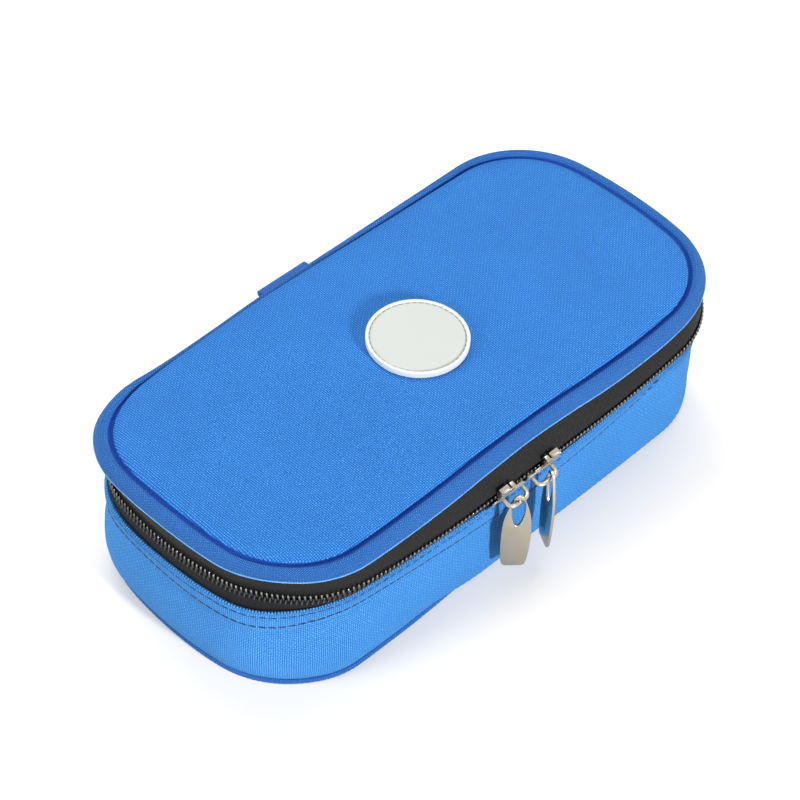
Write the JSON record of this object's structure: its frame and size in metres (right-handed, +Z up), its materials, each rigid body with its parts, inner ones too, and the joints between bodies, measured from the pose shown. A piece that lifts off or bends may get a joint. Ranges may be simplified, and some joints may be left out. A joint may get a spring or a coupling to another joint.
{
  "type": "insulin cooling case",
  "caption": "Small padded fabric case with a two-slider zip, a round lid badge, a divider with pen loops and two gel packs.",
  "frame": {"origin": "middle of the case's flat underside", "axes": "+Z up through the lid, +X along the case's length to the right, -Y to the zip's front, +Y to the spine"},
  "size_m": [0.205, 0.1212, 0.0555],
  "materials": {
    "blue_fabric": "matt woven",
    "blue_binding": "matt ribbed",
    "black_zip": "matt",
    "nickel": "polished",
    "badge": "satin",
    "foil": "satin foil",
    "foam": "matt",
    "board": "matt",
    "gel": "glossy film"
  },
  "bodies": {
    "base": {"base_bottom_panel": "blue_fabric", "base_piping": "blue_binding", "base_side_wall": "blue_fabric", "base_bottom_foam": "foam", "base_wall_foam": "foam", "base_foil_liner": "foil", "base_rim_binding": "blue_binding", "zip_teeth_lower": "black_zip", "zip_tape_lower": "black_zip", "zip_end_stop_left": "nickel", "zip_end_stop_right": "nickel", "hinge_seam_binding": "blue_binding", "gel_pack_left": "gel", "gel_pack_right": "gel"},
    "lid": {"lid_binding": "blue_binding", "lid_cover": "blue_fabric", "lid_stiffener": "board", "lid_foam": "foam", "lid_foil_liner": "foil", "lid_net_binding": "blue_binding", "lid_net_pocket": "black_zip", "badge": "badge", "zip_teeth_upper": "black_zip", "zip_tape_upper": "black_zip", "hinge_spine": "blue_fabric", "webbing_loop": "blue_binding"},
    "divider": {"divider_board": "board", "divider_cover": "blue_fabric", "divider_foil": "foil", "divider_binding": "blue_binding", "divider_hinge_strip": "blue_binding", "divider_pull_tab": "black_zip", "pen_loops_left": "black_zip", "pen_loops_right": "black_zip"},
    "slider_left_body": {"slider_left": "nickel", "slider_left_crown": "nickel"},
    "slider_right_body": {"slider_right": "nickel", "slider_right_crown": "nickel"},
    "pull_left_body": {"pull_left": "nickel"},
    "pull_right_body": {"pull_right": "nickel"}
  },
  "joints": [
    {"name": "lid_hinge", "type": "hinge", "parent": "base", "child": "lid", "pos_m": [0, 0.051, 0.031], "axis": [-1, 0, 0], "range_deg": [0, 180], "deforming": ["webbing_loop"]},
    {"name": "divider_hinge", "type": "hinge", "parent": "base", "child": "divider", "pos_m": [0, 0.0414, 0.0322], "axis": [-1, 0, 0], "range_deg": [0, 90]},
    {"name": "slider_left_slide", "type": "slide", "parent": "base", "child": "slider_left_body", "axis": [-1, 0, 0], "range_m": [0, 0.048]},
    {"name": "slider_right_slide", "type": "slide", "parent": "base", "child": "slider_right_body", "axis": [1, 0, 0], "range_m": [0, 0.048]},
    {"name": "pull_left_swing", "type": "hinge", "parent": "slider_left_body", "child": "pull_left_body", "pos_m": [-0.0115, -0.05642, 0.03602], "axis": [-1, 0, 0], "range_deg": [0, 100]},
    {"name": "pull_right_swing", "type": "hinge", "parent": "slider_right_body", "child": "pull_right_body", "pos_m": [0.0026, -0.05642, 0.03602], "axis": [-1, 0, 0], "range_deg": [0, 100]}
  ],
  "couplings": [
    {"joint": "divider_hinge", "follows": "lid_hinge", "ratio": 0.5}
  ]
}
